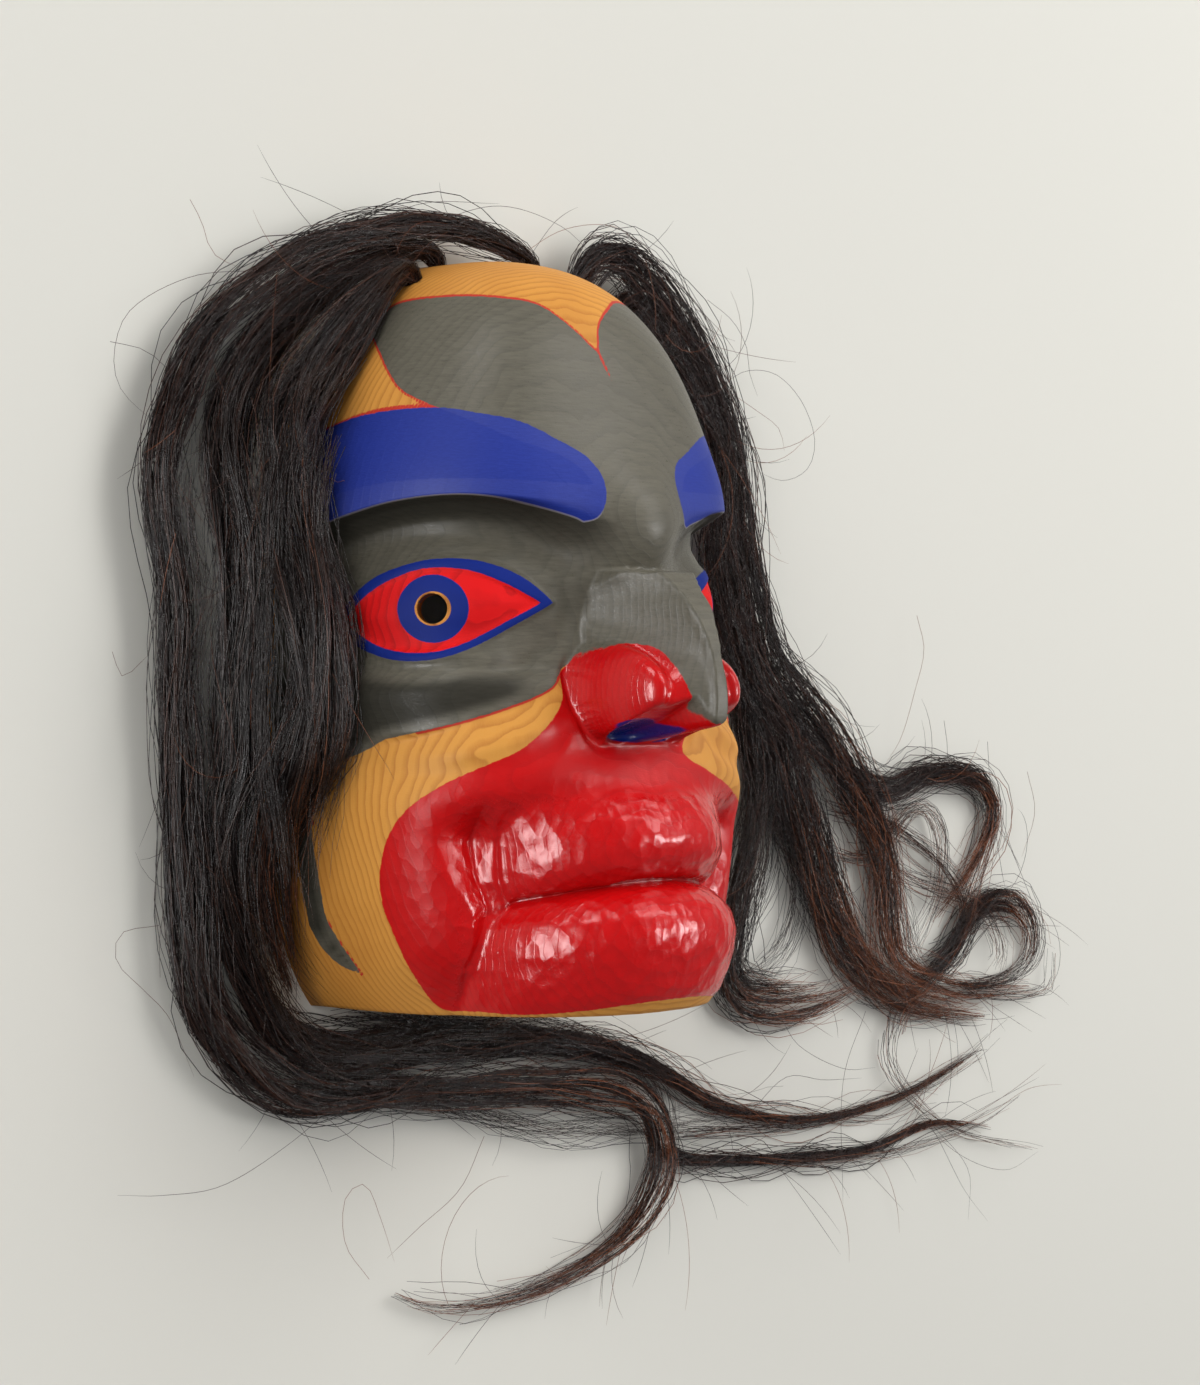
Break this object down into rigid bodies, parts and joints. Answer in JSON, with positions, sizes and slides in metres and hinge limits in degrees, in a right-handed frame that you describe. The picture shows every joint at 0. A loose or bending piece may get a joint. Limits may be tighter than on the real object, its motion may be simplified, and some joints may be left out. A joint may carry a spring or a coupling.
{
  "type": "carved face mask",
  "caption": "Carved and painted wooden face mask with pierced pupils, a hollow back and long locks of horsehair set in its crown, lying on its back.",
  "frame": {"origin": "middle of the whole part's footprint, hair included, on the plane of the mask's back rim", "axes": "+Z out of the face, from the back rim to the nose; +Y from the chin to the crown; +X to the viewer's right as the face is looked at"},
  "size_m": [0.6, 0.4536, 0.1472],
  "materials": {
    "painted_wood": "satin",
    "hair": "satin"
  },
  "bodies": {
    "root": {"mask": "painted_wood", "hair_lock_left_outer": "hair", "hair_lock_left_middle": "hair", "hair_lock_left_inner": "hair", "hair_lock_right_outer": "hair", "hair_lock_right_inner": "hair"}
  },
  "joints": []
}
